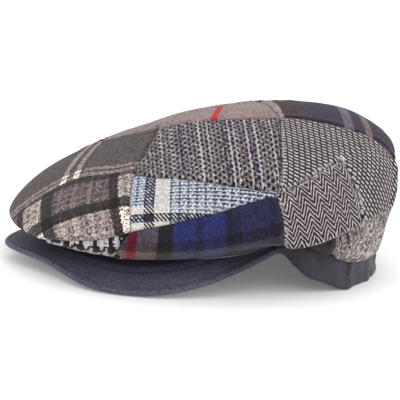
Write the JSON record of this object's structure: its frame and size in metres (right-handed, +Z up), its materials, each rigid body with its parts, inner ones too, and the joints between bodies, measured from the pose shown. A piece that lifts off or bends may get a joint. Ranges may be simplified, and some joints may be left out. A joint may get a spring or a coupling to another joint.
{
  "type": "flat cap",
  "caption": "Patchwork tweed flat cap: a domed crown of sewn cloth patches, a curved leather peak and a leather band round the back.",
  "frame": {"origin": "on the floor, under the middle of the cap's box", "axes": "+Z up, -Y towards the tip of the peak, +X towards the wearer's left"},
  "size_m": [0.2026, 0.2686, 0.1126],
  "materials": {
    "band_leather": "smooth, dark navy",
    "back_marl": "grey and beige looped wool",
    "birdseye": "black and white birdseye wool",
    "blue_plaid": "navy, blue and grey plaid wool with a dark red bar",
    "dark_patch": "dark brown wool",
    "front_plaid": "plaid wool in grey, beige and black",
    "glen_check": "grey, white and navy glen check wool",
    "herringbone": "black and white herringbone wool",
    "houndstooth": "black and white houndstooth wool",
    "light_check": "light blue, white and black checked wool",
    "peak_leather": "grained, dark navy",
    "ridge_grey": "light grey wool with a red line",
    "ridge_navy": "navy wool with beige lines"
  },
  "bodies": {
    "root": {"back_band": "band_leather", "back_marl": "back_marl", "birdseye_left": "birdseye", "birdseye_right": "birdseye", "blue_plaid_left": "blue_plaid", "blue_plaid_right": "blue_plaid", "dark_patch_left": "dark_patch", "dark_patch_right": "dark_patch", "front_plaid": "front_plaid", "glen_check_left": "glen_check", "glen_check_right": "glen_check", "herringbone_left": "herringbone", "herringbone_right": "herringbone", "houndstooth_left": "houndstooth", "houndstooth_right": "houndstooth", "light_check_left": "light_check", "light_check_right": "light_check", "peak": "peak_leather", "ridge_grey": "ridge_grey", "ridge_navy": "ridge_navy"}
  },
  "joints": []
}
